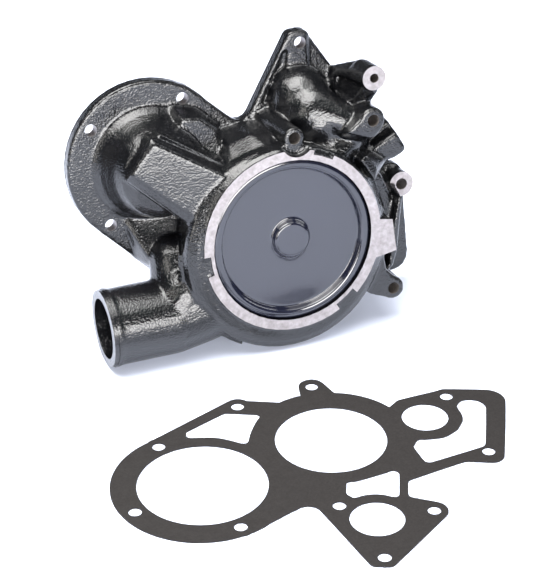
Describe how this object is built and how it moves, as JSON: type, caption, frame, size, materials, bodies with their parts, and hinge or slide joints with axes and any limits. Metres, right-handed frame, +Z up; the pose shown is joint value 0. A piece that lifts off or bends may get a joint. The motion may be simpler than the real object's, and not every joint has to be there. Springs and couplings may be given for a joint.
{
  "type": "water pump",
  "caption": "Gear-driven engine coolant pump: cast-iron volute body with hose inlet, passages in its mounting face, core plug, bearings, seals, impeller, gear, and a loose gasket.",
  "frame": {"origin": "middle of the footprint of the pump and its loose gasket, on the bench they rest on", "axes": "+Z up, -Y towards the core plug that closes the front, +X to the right seen from the front; the shaft axis leans 9.3 degrees down towards the back"},
  "size_m": [0.3026, 0.3998, 0.2108],
  "materials": {
    "black_paint": "gloss over cast iron, bare where machined",
    "plug_paint": "smooth gloss",
    "iron": "as cast and turned",
    "steel": "ground",
    "gear_steel": "hardened and ground",
    "rubber": "matt",
    "ceramic": "fired alumina",
    "carbon": "lapped",
    "brass": "drawn",
    "gasket_sheet": "matt fibre sheet"
  },
  "bodies": {
    "body": {"pump_housing": "black_paint", "front_core_plug": "plug_paint", "seal_case": "brass", "seal_bellows": "rubber", "seal_face": "carbon", "seal_spring": "steel", "oil_seal_case": "steel", "oil_seal_lip": "rubber", "front_bearing_outer_race": "steel", "rear_bearing_outer_race": "steel", "bearing_outer_spacer": "steel", "bearing_circlip": "steel"},
    "rotor": {"pump_shaft": "steel", "impeller": "iron", "seal_seat": "ceramic", "slinger": "rubber", "front_bearing_inner_race": "steel", "rear_bearing_inner_race": "steel", "bearing_inner_spacer": "steel", "drive_gear": "gear_steel", "gear_key": "steel", "gear_washer": "steel", "gear_nut": "steel"},
    "front_cage": {"front_bearing_balls": "steel"},
    "rear_cage": {"rear_bearing_balls": "steel"},
    "gasket": {"mounting_gasket": "gasket_sheet"}
  },
  "joints": [
    {"name": "shaft_spin", "type": "hinge", "parent": "body", "child": "rotor", "pos_m": [0.03364, 0.14073, 0.07415], "axis": [0, 0.9869, -0.1616], "continuous": true},
    {"name": "front_cage_spin", "type": "hinge", "parent": "body", "child": "front_cage", "pos_m": [0.03364, 0.14073, 0.07415], "axis": [0, 0.9869, -0.1616], "continuous": true},
    {"name": "rear_cage_spin", "type": "hinge", "parent": "body", "child": "rear_cage", "pos_m": [0.03364, 0.14073, 0.07415], "axis": [0, 0.9869, -0.1616], "continuous": true},
    {"name": "gasket_lift", "type": "slide", "parent": "body", "child": "gasket", "axis": [0, 0, 1], "range_m": [0, 0.1]}
  ],
  "couplings": [
    {"joint": "front_cage_spin", "follows": "shaft_spin", "ratio": 0.39},
    {"joint": "rear_cage_spin", "follows": "shaft_spin", "ratio": 0.39}
  ]
}
